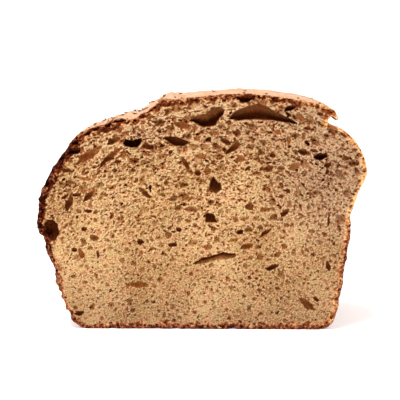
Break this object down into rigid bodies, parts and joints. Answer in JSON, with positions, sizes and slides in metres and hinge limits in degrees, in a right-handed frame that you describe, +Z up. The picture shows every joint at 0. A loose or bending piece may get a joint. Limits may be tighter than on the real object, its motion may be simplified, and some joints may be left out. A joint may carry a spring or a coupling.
{
  "type": "sourdough loaf",
  "caption": "Half of a wholegrain sourdough tin loaf, cut across to show an open brown crumb under a floured, split crust.",
  "frame": {"origin": "middle of the loaf's bounding box, in the plane of its flat base", "axes": "+X across the loaf, -Y towards the cut side, +Y towards the baked end, +Z up through the crown"},
  "size_m": [0.1254, 0.112, 0.0902],
  "materials": {
    "bread": "matt, porous"
  },
  "bodies": {
    "root": {"loaf": "bread"}
  },
  "joints": []
}
